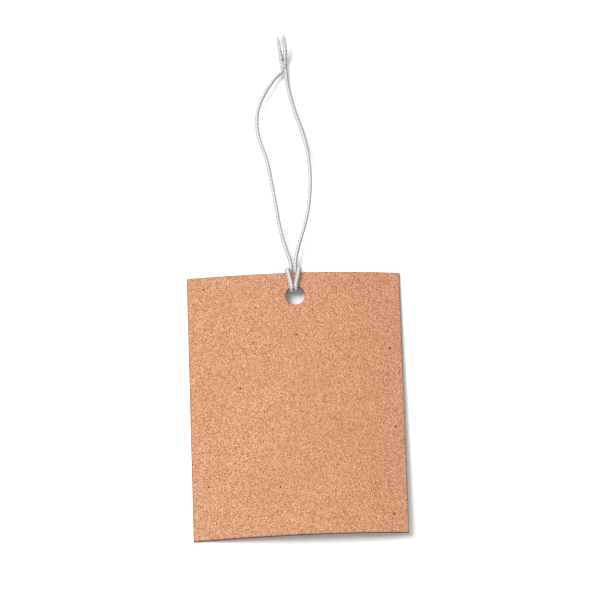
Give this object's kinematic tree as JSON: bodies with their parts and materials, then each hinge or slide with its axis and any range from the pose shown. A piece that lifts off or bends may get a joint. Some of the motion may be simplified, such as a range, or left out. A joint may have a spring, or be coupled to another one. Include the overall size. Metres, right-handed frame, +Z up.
{
  "type": "price tag",
  "caption": "Plain kraft card tag with a punched hole and a closed loop of thin white cord, knotted at its end.",
  "frame": {"origin": "on the surface that the tag lies on, under the middle of the card", "axes": "+Y up the card towards the hole and the cord, +X to the card's right, +Z up from the surface"},
  "size_m": [0.05, 0.1249, 0.0045],
  "materials": {
    "kraft_board": "matt, uncoated, fine flecks",
    "white_cord": "matt braided cotton"
  },
  "bodies": {
    "card": {"tag_card": "kraft_board"},
    "hitch": {"string_hitch": "white_cord"},
    "loop": {"loop_strand_left": "white_cord", "loop_strand_right": "white_cord", "string_knot": "white_cord", "tail_left": "white_cord", "tail_right": "white_cord"}
  },
  "joints": [
    {"name": "hitch_turn", "type": "hinge", "parent": "card", "child": "hitch", "pos_m": [0.00035, 0.0267, 0.0025], "axis": [0, 0, 1], "range_deg": [-10, 10]},
    {"name": "loop_swing", "type": "hinge", "parent": "hitch", "child": "loop", "pos_m": [0.00007, 0.0346, 0.00161], "axis": [1, 0, 0], "range_deg": [-90, 100]}
  ]
}
